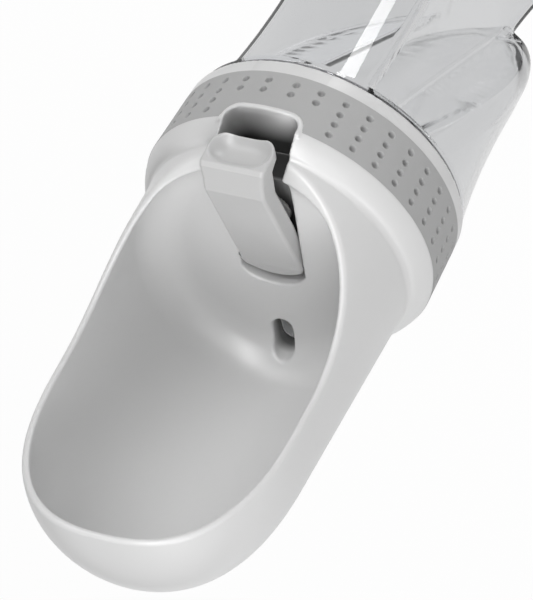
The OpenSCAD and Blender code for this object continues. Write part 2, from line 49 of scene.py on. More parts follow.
SEAM_Z = 137.0  # height of the seam between bottle and head

# ---------- sizes in millimetres ----------
# Most are the part's own. Heights of the head are above the seam, those of the bottle above its base.

COLLAR_R, COLLAR_DRAFT = 37.5, 0.9
RING_H, BAND_H, BAND_T = 3.9, 15.9, 1.2
BAND_TOP = RING_H + BAND_H
SHOULDER_SIDE, SHOULDER_LEAN, SHOULDER_ROUND = 3.4, 0.7, 1.6
GROOVE_R = COLLAR_R - BAND_T - COLLAR_DRAFT
CHAMBER_R, LEDGE_R, LID_TOP = 33.0, 31.45, 12.5
BOWL_R, BOWL_H, BOWL_TAPER, DOME_H, DOME_N = 34.1, 78.0, 1.0, 45.3, 2.6
BOWL_WALL = 1.8
FLOOR_Z, FLOOR_TILT, FLOOR_T, FLOOR_ROUND = 30.3, math.radians(8), 2.2, 9.0
RIM_ROUND = 0.85
SLOT_X, SLOT_BACK, TROUGH_FLOOR, TROUGH_WALL, WELL_BACK = 8.4, 8.2, 24.6, 1.6, 22.85
SLOT_END_R = SLOT_X + 2
WIDE_FROM, WIDE_OVER = 28, 4  # how far in front the trough starts to widen, and over what length
ARCH_X, ARCH_Z, ARCH_RIM, ARCH_ROUND = 9.4, 16.5, 1.5, 3.0
ARCH_UP, ARCH_PROUD, ARCH_IN = 1.5, 0.25, 1.0  # the arch's frame over the band, past the collar and into it
PIN_Y, PIN_Z, PIN_R, BOSS_R = 1.0, 28.4, 1.25, 2.3
PIN_GAP, PIN_REACH = 0.05, 10.5
LEVER_X, LEVER_T, LEVER_TAIL, LEVER_END_R = 8.1, 1.6, 5.1, 12.0
VALVE_FRONT, GLAND_R = 12.0, 5.2
OUTLET_Y, OUTLET_W, OUTLET_L, OUTLET_WALL, OUTLET_H = 23.9, 5.4, 10.5, 2, 1.3
SEAT_DEEP, SEAT_IN = 1.1, 0.4  # the band's seat, and how far its ends lie under the band
SEAM_EDGE, FLOOR_EDGE, ARCH_EDGE, SLOT_EDGE, OUTLET_EDGE = 0.4, 0.9, 0.7, 0.55, 0.5
BOWL_BLEND, CREASE = 0.7, 0.3
BOTTLE_R, LIP_R, LIP_T, SEAM_GAP = 33.0, 35.8, 1.5, 0.5
LIP_TOP = SEAM_Z - SEAM_GAP
NECK_R, NECK_BORE, NECK_H, BOTTLE_WALL = 29.5, 27.1, 9.0, 1.6
FLARE_H, BASE_ROUND, PUNT_H, BASE_T = 32.0, 8.0, 2.5, 2.2
STAND_R = BOTTLE_R - BASE_ROUND - 3.5
GRIP_HALF, GRIP_TILT, GRIP_EDGE = 18.6, math.radians(8), 1.2
WALL_Y, WALL_Z, WALL_SLOPE, CREST_R = -6.0, -22.0, 1.7, 6.0
FOOT_H, FOOT_BLEND = 66.0, 70.0
INTO_WALL, ARCH_DEEP, PAST = 3, 3.3, 3  # walls and arch into the collar, and a cut past its face
TALL, FAR = 30, 60  # reach of outlines that are open at one side


# ---------- implicit surfaces: negative inside ----------

def join(a, b, r=0.0):
    """Union with a fillet of radius r."""
    if r <= 0:
        return np.minimum(a, b)
    u, v = np.maximum(r - a, 0), np.maximum(r - b, 0)
    return np.maximum(r, np.minimum(a, b)) - np.sqrt(u * u + v * v)


def meet(a, b, r=0.0):
    """Intersection with a rounded edge of radius r."""
    return -join(-a, -b, r)


def cut(a, b, r=0.0):
    return meet(a, -b, r)


def slab(x, low, high):
    return np.maximum(low - x, x - high)


def box2(u, v, half_u, half_v, r):
    """A rectangle with corners of radius r."""
    du, dv = np.abs(u) - (half_u - r), np.abs(v) - (half_v - r)
    outside = np.sqrt(np.maximum(du, 0) ** 2 + np.maximum(dv, 0) ** 2)
    return outside + np.minimum(np.maximum(du, dv), 0) - r


def polygon(u, v, points):
    """Signed distance to a closed outline."""
    best = np.full(u.shape, 1e9, u.dtype)
    sign = np.ones(u.shape, bool)
    for (au, av), (bu, bv) in zip(points, points[1:] + points[:1]):
        eu, ev = bu - au, bv - av
        wu, wv = u - au, v - av
        t = np.clip((wu * eu + wv * ev) / (eu * eu + ev * ev), 0, 1)
        best = np.minimum(best, (wu - eu * t) ** 2 + (wv - ev * t) ** 2)
        above, below, left = v >= av, v < bv, eu * wv > ev * wu
        sign ^= (above & below & left) | (~above & ~below & ~left)
    return np.where(sign, 1, -1) * np.sqrt(best)


def bezier(points, n):
    t = np.linspace(0, 1, n)[:, None]
    p = np.array(points, float)
    return p[0] * (1 - t) ** 3 + 3 * p[1] * t * (1 - t) ** 2 + 3 * p[2] * t * t * (1 - t) + p[3] * t ** 3


# The rim's side view: depth as a function of height
RIM_START = np.array([-BOWL_R, BAND_TOP + 5.7])
RIM_CURVE = bezier([RIM_START, RIM_START + [13.2, 11], [-6.5, 52], [-5.9, 75]], 40)
RIM_TIP = np.array([-4.3, BOWL_H + DOME_H + 1])
RIM_LINE = np.vstack([[[-BOWL_R - 12, BAND_TOP - 4.3]], RIM_CURVE, [RIM_TIP]])


def rim_field(y, z):
    """Positive in front of the rim."""
    depth = np.interp(z, RIM_LINE[:, 1], RIM_LINE[:, 0])
    slope = np.gradient(RIM_LINE[:, 0], RIM_LINE[:, 1])
    lean = np.interp(z, RIM_LINE[:, 1], slope)
    return (depth - y) / np.sqrt(1 + lean * lean)


def bowl_wall(rho, z, inset):
    """The bowl's wall, and its dome, set in by inset."""
    r1, tall = BOWL_R - BOWL_TAPER - inset, DOME_H - inset
    side = rho - (r1 + BOWL_TAPER * np.clip(BOWL_H - z, 0, BOWL_H) / BOWL_H)
    u, v = np.maximum(rho / r1, 1e-6), np.maximum((z - BOWL_H) / tall, 1e-6)
    s = (u ** DOME_N + v ** DOME_N) ** (1 / DOME_N)
    slope = np.sqrt((s ** (1 - DOME_N) * u ** (DOME_N - 1) / r1) ** 2
                    + (s ** (1 - DOME_N) * v ** (DOME_N - 1) / tall) ** 2)
    return np.where(z > BOWL_H, (s - 1) / np.maximum(slope, 1e-6), side)


def floor_plane(y, z):
    """Positive above the bowl's floor."""
    return (z - FLOOR_Z) * math.cos(FLOOR_TILT) - y * math.sin(FLOOR_TILT)


def arch_outline(x, z, grow):
    """The front view of the arch, open toward the bowl."""
    return box2(x, z - (ARCH_Z + TALL), ARCH_X + grow, TALL + grow, ARCH_ROUND + grow)


def round_end(x, y, half, back, end_r):
    """The plan of a strip with a round end of radius end_r at the depth back."""
    end = np.where(y > back - end_r, np.hypot(x, y - (back - end_r)) - end_r, -end_r)
    return np.abs(x) - half, end


def trough(x, y, z, grow):
    """The lever's trough and its channel to the arch, grown by the thickness of their walls."""
    outline = [(-FAR, ARCH_Z), (-WELL_BACK, ARCH_Z), (-WELL_BACK, TROUGH_FLOOR),
               (SLOT_BACK, TROUGH_FLOOR), (SLOT_BACK, FAR), (-FAR, FAR)]
    side = polygon(y, z, outline)
    half = SLOT_X + (ARCH_X - SLOT_X) * np.clip((-y - WIDE_FROM) / WIDE_OVER, 0, 1)
    plan = np.maximum(*round_end(x, y, half, SLOT_BACK, SLOT_END_R))
    return meet(side, plan, ARCH_ROUND) - grow


def outlet_plan(x, y, grow):
    """The outlet's slot with round ends, seen from above."""
    half = OUTLET_W / 2 + grow
    return box2(x, y - OUTLET_Y, half, OUTLET_L / 2 + grow, half)


def shoulder(rho, z):
    """The collar's drafted side, the shoulder's upright part and its slope of 45 degrees."""
    low = COLLAR_R - COLLAR_DRAFT * np.clip(1 - z / BAND_TOP, 0, 1)
    lean = SHOULDER_LEAN / SHOULDER_SIDE
    side = (rho - low + lean * np.maximum(z - BAND_TOP, 0)) / math.hypot(1, lean)
    edge = COLLAR_R - SHOULDER_LEAN + BAND_TOP + SHOULDER_SIDE
    return meet(side, (rho + z - edge) / math.sqrt(2), SHOULDER_ROUND)


def collar(x, y, z, rho):
    """The collar with the band's seat, and the frame of the arch."""
    ring = meet(meet(shoulder(rho, z), floor_plane(y, z), FLOOR_EDGE), -z, SEAM_EDGE)
    side = rho - COLLAR_R + COLLAR_DRAFT * np.clip(1 - z / BAND_TOP, 0, 1)
    seat = np.maximum(-side - SEAT_DEEP, slab(z, RING_H + SEAT_IN, BAND_TOP - SEAT_IN))
    rim = meet(arch_outline(x, z, ARCH_RIM), slab(z, 0, BAND_TOP + ARCH_UP))
    rim = np.maximum(np.maximum(rim, y), -(rho - GROOVE_R + ARCH_IN))
    return join(cut(ring, seat), meet(rim, rho - COLLAR_R - ARCH_PROUD, ARCH_EDGE), CREASE)


def bowl(y, z, rho):
    """The bowl's outer form, cut off along its rim."""
    return np.maximum(meet(bowl_wall(rho, z, 0), rim_field(y, z), RIM_ROUND), BAND_TOP - z)


def hollowed(solid, y, z, rho):
    """Takes the bowl's space out above the floor, and the lid's chamber below it."""
    space = meet(bowl_wall(rho, z, BOWL_WALL), -floor_plane(y, z), FLOOR_ROUND)
    bore = np.where(z < LID_TOP, rho - CHAMBER_R, rho - LEDGE_R)
    chamber = np.maximum(bore, floor_plane(y, z) + FLOOR_T)
    return cut(cut(solid, space, RIM_ROUND), chamber, CREASE)


def head_shell(x, y, z):
    """The head's moulding: collar and bowl, the walls under the floor, and what is cut out."""
    rho = np.hypot(x, y)
    shell = hollowed(join(collar(x, y, z, rho), bowl(y, z, rho), BOWL_BLEND), y, z, rho)
    core = np.maximum(rho - LEDGE_R - INTO_WALL, floor_plane(y, z) + FLOOR_T / 2)
    shell = join(shell, np.maximum(trough(x, y, z, TROUGH_WALL), core))
    boss = np.maximum(outlet_plan(x, y, OUTLET_WALL), FLOOR_Z - OUTLET_H - z)
    shell = join(shell, np.maximum(boss, core))
    through = np.maximum(arch_outline(x, z, 0), slab(y, -COLLAR_R - PAST, -GROOVE_R + ARCH_DEEP))
    shell = cut(shell, np.minimum(trough(x, y, z, 0), through), SLOT_EDGE)
    shell = cut(shell, np.maximum(outlet_plan(x, y, 0), slab(z, 0, BOWL_H / 2)), OUTLET_EDGE)
    gland = np.maximum(np.hypot(x, y + VALVE_FRONT) - GLAND_R, slab(z, 0, FLOOR_Z))
    pin = np.maximum(np.hypot(y - PIN_Y, z - PIN_Z) - PIN_R - PIN_GAP, np.abs(x) - PIN_REACH)
    return cut(cut(shell, gland), pin)


# ---------- the grip band ----------

DOT_STEP, DOT_TURN = math.radians(10), math.radians(0.65)
DOT_ROWS = (6.7, 10.2, 13.5, 16.9)
DOT_ROWS_BY_ARCH = (6.7, 9.9)
NO_ROW = (99, 99)
DOT_R, DOT_DEEP = 0.98, 0.85
BAND_PROUD, BAND_EDGE, BAND_BEVEL, BAND_OUT = 0.03, 0.15, 0.05, 0.1
BAND_RINGS = 85
BAND_TURN = np.linspace(0, 2 * math.pi, 1441)[:-1]


def band_top(turn):
    """The band's upper edge, which runs under the frame of the arch."""
    x, half = np.abs(COLLAR_R * np.sin(turn)), ARCH_X + ARCH_RIM / 2
    r = ARCH_ROUND + ARCH_RIM / 2
    past_corner = np.maximum(x - half + r, 0)
    low = ARCH_Z - ARCH_RIM / 2 + r - np.sqrt(np.clip(r ** 2 - past_corner ** 2, 0, None))
    return np.where((x < half) & (np.cos(turn) > 0), np.minimum(low, BAND_TOP), BAND_TOP)


def band_face(turn, z):
    """Points of the band's dimpled face."""
    signed = (turn + math.pi) % (2 * math.pi) - math.pi
    side = np.abs(signed) - DOT_TURN
    column = np.maximum(np.round(side / DOT_STEP - 0.5), 0) + 0.5
    across = (side - column * DOT_STEP) * COLLAR_R
    rows = np.where((column < 2)[..., None], DOT_ROWS_BY_ARCH + NO_ROW, DOT_ROWS)
    away = np.min(across[..., None] ** 2 + (z[..., None] - rows) ** 2, axis=-1) / DOT_R ** 2
    dimple = DOT_DEEP * np.clip(1 - away, 0, 1)
    r = COLLAR_R - COLLAR_DRAFT * (1 - z / BAND_TOP) + BAND_PROUD - dimple
    return np.stack([r * np.sin(turn), -r * np.cos(turn), z], -1)


def dimpled_band():
    """The grip band as one closed grid, face, top edge, back and lower edge."""
    turn = np.broadcast_to(BAND_TURN, (BAND_RINGS, BAND_TURN.size))
    top = band_top(BAND_TURN)
    low = RING_H - BAND_PROUD
    z = low + np.linspace(0, 1, BAND_RINGS)[:, None] * (top + BAND_PROUD - low)
    face, step = band_face(turn, z), 1e-3
    slope = np.cross(band_face(turn + step, z) - band_face(turn - step, z),
                     band_face(turn, z + step) - band_face(turn, z - step))
    slope /= np.linalg.norm(slope, axis=2)[:, :, None]
    around = np.stack([np.sin(BAND_TURN), -np.cos(BAND_TURN), 0 * BAND_TURN], 1)
    up = np.zeros_like(around) + [0, 0, 1.0]

    def ring(r, height, normal):
        return np.concatenate([around[:, :2] * r, (height + 0 * top)[:, None]], 1)[None], normal[None]

    edge, inner, back = COLLAR_R - BAND_EDGE, GROOVE_R + BAND_EDGE, GROOVE_R + BAND_OUT
    parts = [(face, slope), ring(edge, top + BAND_PROUD, up), ring(inner, top + BAND_PROUD, up),
             ring(back, top, -around), ring(back, low + BAND_BEVEL, -around), ring(inner, low, -up),
             ring(edge - COLLAR_DRAFT, low, -up), (face[:1], slope[:1])]
    return closed_grid("dimpled_band", parts, SEAM_Z)


# ---------- the thumb lever ----------

LEVER_IN = (PIN_Y + LEVER_TAIL, PIN_Z + 1.3)
LEVER_BEND = (-COLLAR_R + 7.6, PIN_Z + 9.2)
LEVER_LIP = (-COLLAR_R + 0.8, PIN_Z + 7.9)
TONGUE_Y, TONGUE_Z, TONGUE_T, TONGUE_ROUND = COLLAR_R + 1.3, ARCH_Z + 8.9, 2.2, 5.0
PAD_R, PAD_DEEP = 5.2, 2.8
LEVER_FLARE, FLARE_BACK, FLARE_OVER = 0.5, 5.5, 4
LEVER_EDGE, LEVER_CORNER, BOSS_BLEND, HOLLOW_EDGE, PAD_EDGE = 1.0, 1.2, 0.5, 0.6, 0.8
FORK_TILT, FORK_UP, FORK_T, FORK_REACH, FORK_GAP = math.radians(5), 0.3, 1.3, 4, 2.4
PAD_Y, PAD_Z = -TONGUE_Y + 0.6 - PAD_R + PAD_DEEP, PIN_Z + 1.9
LEVER_SIDE = [LEVER_IN, LEVER_BEND, LEVER_LIP, (LEVER_LIP[0] - 1, LEVER_LIP[1] - 0.9),
              (-TONGUE_Y, TONGUE_Z), (-TONGUE_Y + TONGUE_T, TONGUE_Z), (-TONGUE_Y + 4.2, PIN_Z + 0.8),
              (-TONGUE_Y + 5.4, PIN_Z + 2.4), (LEVER_BEND[0] + 2.2, PIN_Z + 3.3),
              (-VALVE_FRONT, PIN_Z - 0.2), (PIN_Y - BOSS_R, PIN_Z - 1.4), (LEVER_IN[0], PIN_Z - 0.4)]
LEVER_HOLLOW = [(PIN_Y - BOSS_R - 1, PIN_Z - 4), (PIN_Y - BOSS_R - 1, PIN_Z + 2),
                (LEVER_BEND[0] + 1, LEVER_BEND[1] - LEVER_T - 0.1),
                (LEVER_LIP[0] + 2.6, LEVER_LIP[1] - LEVER_T), (-TONGUE_Y + 3.4, PIN_Z + 3),
                (-TONGUE_Y + TONGUE_T, TONGUE_Z), (-TONGUE_Y + TONGUE_T, PIN_Z - 4)]


def lever_plan(x, y, z):
    """The lever from above, a little wider at its tip, and the tongue's round corners."""
    flare = LEVER_FLARE * np.clip((-y - TONGUE_Y + FLARE_BACK) / FLARE_OVER, 0, 1)
    sides, end = round_end(x, y, LEVER_X, LEVER_IN[0], LEVER_END_R)
    tongue = box2(x, z - (TONGUE_Z + TALL), LEVER_X + LEVER_FLARE, TALL, TONGUE_ROUND)
    return np.maximum(meet(sides - flare, end, LEVER_CORNER), tongue)


def fork(x, y, z):
    """The plate under the head of the stem's screw, and the slot that makes it a fork."""
    fy, fz = y + VALVE_FRONT, z - (PIN_Z + FORK_UP)
    level = fz * math.cos(FORK_TILT) + fy * math.sin(FORK_TILT)
    plate = np.maximum(slab(level, 0, FORK_T), np.abs(fy) - FORK_REACH)
    slot = np.minimum(np.hypot(x, fy) - FORK_GAP, np.maximum(np.abs(x) - FORK_GAP, -fy))
    slot = np.maximum(slot, slab(level, -1, FORK_T + 1))
    return np.maximum(plate, np.abs(x) - LEVER_X + 1), np.maximum(slot, np.abs(fy) - (FORK_REACH + 2))


def thumb_lever(x, y, z):
    """The lever: a hollow shell with a thumb pad in its tip, a fork and the pin's hole."""
    around_pin = np.hypot(y - PIN_Y, z - PIN_Z)
    side = join(polygon(y, z, LEVER_SIDE), around_pin - BOSS_R, BOSS_BLEND)
    body = meet(side, lever_plan(x, y, z), LEVER_EDGE)
    pad = np.hypot(y - PAD_Y, z - PAD_Z) - PAD_R + PAD_DEEP * (x / LEVER_X) ** 4
    hollow = np.maximum(polygon(y, z, LEVER_HOLLOW), -pad + LEVER_T)
    body = cut(body, meet(hollow, np.abs(x) - LEVER_X + LEVER_T, HOLLOW_EDGE), CREASE)
    body = cut(body, pad, PAD_EDGE)
    plate, slot = fork(x, y, z)
    return cut(cut(np.minimum(body, plate), slot), around_pin - PIN_R - PIN_GAP)


# ---------- the bottle ----------

FLARE = LIP_R - BOTTLE_R
FLARE_R = (FLARE_H ** 2 + FLARE ** 2) / (2 * FLARE)
FLARE_START = LIP_TOP - LIP_T - FLARE_H
SHELF_Z = LIP_TOP - LIP_T - 0.1  # where the hollows end under the lip


def wall_y(z):
    """Depth of the slanting wall that closes the hollows toward the back."""
    return WALL_Y + (SEAM_Z + WALL_Z - z) / WALL_SLOPE


def bottle_skin(x, y, z, inset=0.0):
    """The bottle's outer face under its lip; a face set in from it keeps its edges round."""
    rho = np.hypot(x, y)
    rise = np.clip(z - FLARE_START, 0, FLARE_H)
    side = rho - (BOTTLE_R + FLARE_R - np.sqrt(FLARE_R ** 2 - rise ** 2))
    over = np.abs(x)
    fx = (over - GRIP_HALF) * math.cos(GRIP_TILT) + (y + BOTTLE_R) * math.sin(GRIP_TILT)
    drop = np.maximum(FOOT_H - z, 0)
    floor = np.where(z < FOOT_H, np.hypot(fx - FOOT_BLEND, drop) - FOOT_BLEND, -fx)
    wall = (wall_y(z) - y) / math.hypot(1, 1 / WALL_SLOPE)
    kept = join(meet(side, wall, CREST_R), meet(side, -floor, GRIP_EDGE + inset), GRIP_EDGE)
    return np.maximum(side, np.minimum(kept, meet(side, SHELF_Z - z, 0.4))) + inset


TURN = np.linspace(0, 2 * math.pi, 481)[:-1]
EDGE_TURN = TURN[46]  # the column that follows the hollows' front edge
EDGE_X, EDGE_Y = GRIP_HALF, math.sqrt(BOTTLE_R ** 2 - GRIP_HALF ** 2)
EYE_LEAD, EYE_BACK, EYE_FROM, EYE_OVER = 3, 27, 40, 30  # where the rays of an outline start
RAY, HALVINGS = 80.0, 36


def turned(points):
    """A stretch of a turned profile, given as radius and height, and its normals."""
    p = np.array(points, float)
    way = np.gradient(p, axis=0)
    way /= np.linalg.norm(way, axis=1)[:, None]
    around = np.stack([np.sin(TURN), -np.cos(TURN), np.zeros_like(TURN)], 1)
    up = np.array([0, 0, 1.0])
    return (p[:, :1, None] * around + p[:, 1:, None] * up,
            way[:, 1:, None] * around - way[:, :1, None] * up)


def solved(heights, inset):
    """Rings of the skin, moved in by inset, along rays from a point that sees all of each outline."""
    z = np.array(heights, float)[:, None] + np.zeros_like(TURN)
    start = np.minimum(wall_y(z) + EYE_LEAD, EYE_BACK * (z - EYE_FROM) / EYE_OVER)
    start = np.clip(start, 0, EYE_BACK)
    half_turn = np.minimum(TURN, 2 * math.pi - TURN)
    edge = np.arctan2(EDGE_X - inset, start + EDGE_Y - inset)
    far = edge + (half_turn - EDGE_TURN) * (math.pi - edge) / (math.pi - EDGE_TURN)
    turn = np.where(half_turn < EDGE_TURN, half_turn * edge / EDGE_TURN, far)
    turn = np.where(TURN > math.pi, -turn, turn)
    low, high = np.zeros_like(z), np.full_like(z, RAY)
    for _ in range(HALVINGS):
        s = (low + high) / 2
        inner = bottle_skin(s * np.sin(turn), start - s * np.cos(turn), z, inset) < 0
        low, high = np.where(inner, s, low), np.where(inner, high, s)
    rings = np.stack([s * np.sin(turn), start - s * np.cos(turn), z], -1)
    points = rings.reshape(-1, 3)
    slope = gradient(lambda x, y, z: bottle_skin(x, y, z, inset), points).reshape(rings.shape)
    slope /= np.linalg.norm(slope, axis=2)[:, :, None]
    return rings, slope


def shelf(below, above):
    """The underside of the lip, between the rings just below and just above it."""
    share = np.array([0.03, 0.08, 0.3, 0.5, 0.7, 0.92, 0.97])[:, None, None]
    rings = below * (1 - share) + above * share
    around = np.roll(rings, -1, axis=1) - np.roll(rings, 1, axis=1)
    slope = np.cross(around, (above - below) + 0 * share)
    return rings, slope / np.linalg.norm(slope, axis=2)[:, :, None]


def arc(centre, r, start, end, n):
    """Points of an arc between two angles in degrees."""
    turn = np.radians(np.linspace(start, end, n))
    return [(centre[0] + r * math.cos(a), centre[1] + r * math.sin(a)) for a in turn]


def dome(low, rise, outward):
    """The base's domed middle, from its centre outward or back."""
    radii = np.linspace(0.01, STAND_R, 16)
    points = [(r, low + rise * (1 - (r / STAND_R) ** 2)) for r in radii]
    return points if outward else points[::-1]


RING_STEP, FINE_STEP = 0.7, 0.2
LIP_EDGE, NECK_EDGE, INNER_EDGE = 0.4, 0.5, 0.8


def neck_profile(ceiling):
    """Round the lip's edge, up the neck, over its top and down to the ceiling inside."""
    neck_top = SEAM_Z + NECK_H - NECK_EDGE
    return ([(LIP_R, SHELF_Z + 0.5)] + arc((LIP_R - LIP_EDGE, LIP_TOP - LIP_EDGE), LIP_EDGE, 0, 90, 6)
            + arc((NECK_R + NECK_EDGE, LIP_TOP + NECK_EDGE), NECK_EDGE, 270, 180, 6)
            + arc((NECK_R - NECK_EDGE, neck_top), NECK_EDGE, 0, 90, 6)
            + arc((NECK_BORE + NECK_EDGE, neck_top), NECK_EDGE, 90, 180, 6)
            + arc((NECK_BORE + INNER_EDGE, ceiling + INNER_EDGE), INNER_EDGE, 180, 270, 6))


def clear_bottle():
    """One closed skin: the outside up to the neck's top, then the inside down to the base."""
    corner = (BOTTLE_R - BASE_ROUND, BASE_ROUND)
    ceiling = LIP_TOP - BOTTLE_WALL
    near_lip = np.arange(ceiling - 5, ceiling - INNER_EDGE, FINE_STEP)
    heights = np.append(np.arange(BASE_ROUND + RING_STEP, near_lip[0], RING_STEP), near_lip)
    below = solved(np.append(heights[heights < SHELF_Z - 0.1], SHELF_Z - 0.04), 0)
    above = solved(SHELF_Z + np.array([0.04, 0.1, 0.2, 0.3, 0.4]), 0)
    inside, slope = solved(heights[::-1], BOTTLE_WALL)
    parts = [
        turned(dome(0, PUNT_H, True) + arc(corner, BASE_ROUND, -90, 0, 14)),
        below, shelf(below[0][-1:], above[0][:1]), above,
        turned(neck_profile(ceiling)),
        (inside, -slope),
        turned(arc(corner, BASE_ROUND - BOTTLE_WALL, 0, -90, 14) + dome(BASE_T, PUNT_H, False)),
    ]
    return closed_grid("clear_bottle", parts)


# ---------- meshing ----------

def sample(field, points):
    x, y, z = (points[:, i].astype(np.float64) for i in range(3))
    return field(x, y, z)


def gradient(field, points, eps=0.04):
    out = np.empty_like(points)
    for axis in range(3):
        step = np.zeros(3)
        step[axis] = eps
        out[:, axis] = (sample(field, points + step) - sample(field, points - step)) / (2 * eps)
    return out


def surface_net(field, low, high, step):
    """Vertices and quads of the zero surface of a field."""
    axes = [np.arange(a, b + step, step, dtype=np.float32) for a, b in zip(low, high)]
    d = field(*np.meshgrid(*axes, indexing="ij")).astype(np.float32)
    inside = d < 0
    shape = tuple(n - 1 for n in d.shape)
    count = np.zeros(shape, np.int8)
    corners = [(i, j, k) for i in (0, 1) for j in (0, 1) for k in (0, 1)]

    def at(a, corner):
        return a[tuple(slice(c, c + n) for c, n in zip(corner, shape))]

    for corner in corners:
        count += at(inside, corner)
    cells = np.argwhere((count > 0) & (count < 8))
    index = np.full(shape, -1, np.int64)
    index[tuple(cells.T)] = np.arange(len(cells))
    total, hits = np.zeros((len(cells), 3)), np.zeros(len(cells))
    for a in corners:
        for axis in range(3):
            if a[axis]:
                continue
            b = tuple(c + (i == axis) for i, c in enumerate(a))
            da = d[tuple((cells + a).T)].astype(float)
            db = d[tuple((cells + b).T)].astype(float)
            cross = (da < 0) != (db < 0)
            t = np.where(cross, da / np.where(cross, da - db, 1), 0)
            place = np.array(a, float) + np.outer(t, np.eye(3)[axis])
            total += place * cross[:, None]
            hits += cross
    verts = np.array(low) + (cells + total / hits[:, None]) * step
    quads = []
    for axis in range(3):
        u, v = (axis + 1) % 3, (axis + 2) % 3
        first = np.take(inside, range(d.shape[axis] - 1), axis)
        second = np.take(inside, range(1, d.shape[axis]), axis)
        edges = np.argwhere(first != second)
        edges = edges[(edges[:, u] > 0) & (edges[:, v] > 0)]
        edges = edges[(edges[:, u] < d.shape[u] - 1) & (edges[:, v] < d.shape[v] - 1)]
        ring = []
        for du, dv in ((1, 1), (0, 1), (0, 0), (1, 0)):
            cell = edges.copy()
            cell[:, u] -= du
            cell[:, v] -= dv
            ring.append(index[tuple(cell.T)])
        quad = np.stack(ring, 1)
        flip = ~inside[tuple(edges.T)]
        quad[flip] = quad[flip][:, ::-1]
        quads.append(quad)
    return verts, np.vstack(quads)


def build(name, verts, quads, normals):
    """A smooth mesh from millimetres."""
    mesh = bpy.data.meshes.new(name)
    mesh.vertices.add(len(verts))
    mesh.vertices.foreach_set("co", (verts * MM).astype(np.float32).ravel())
    mesh.loops.add(quads.size)
    mesh.loops.foreach_set("vertex_index", quads.astype(np.int32).ravel())
    mesh.polygons.add(len(quads))
    mesh.polygons.foreach_set("loop_start", np.arange(0, quads.size, 4, dtype=np.int32))
    mesh.update(calc_edges=True)
    mesh.validate()
    mesh.shade_smooth()
    mesh.normals_split_custom_set_from_vertices(normals.astype(np.float32))
    piece = bpy.data.objects.new(name, mesh)
    bpy.context.collection.objects.link(piece)
    return piece


def closed_grid(name, parts, lift=0.0):
    """A skin of rings, given as parts of points and normals, raised by lift."""
    rings = np.concatenate([p[0] for p in parts])
    normals = np.concatenate([p[1] for p in parts])
    rows, columns = rings.shape[:2]
    here = np.arange(rows * columns).reshape(rows, columns)
    beside = np.roll(here, -1, axis=1)
    quads = np.stack([here[:-1], beside[:-1], beside[1:], here[1:]], -1).reshape(-1, 4)
    return build(name, rings.reshape(-1, 3) + [0, 0, lift], quads, normals.reshape(-1, 3))


PULLS, LONGEST_PULL = 4, 0.35  # the longest is a share of the net's step
LEAST_SQUARE, TINY = 0.05, 1e-9  # keep divisions away from nought


def moulding(name, field, low, high, step, lift=0.0):
    """Meshes a field, in millimetres, pulls the net onto it and raises it by lift."""
    verts, quads = surface_net(field, low, high, step)
    for _ in range(PULLS):
        slope = gradient(field, verts)
        square = np.maximum((slope ** 2).sum(1), LEAST_SQUARE)
        move = slope * (sample(field, verts) / square)[:, None]
        length = np.linalg.norm(move, axis=1)
        move *= np.minimum(1, LONGEST_PULL * step / np.maximum(length, TINY))[:, None]
        verts -= move
    normals = gradient(field, verts)
    normals /= np.maximum(np.linalg.norm(normals, axis=1), TINY)[:, None]
    return build(name, verts + [0, 0, lift], quads, normals)


# ---------- materials ----------

def set_sockets(node, **values):
    for name, value in values.items():
        node.inputs[name.replace("_", " ")].default_value = value


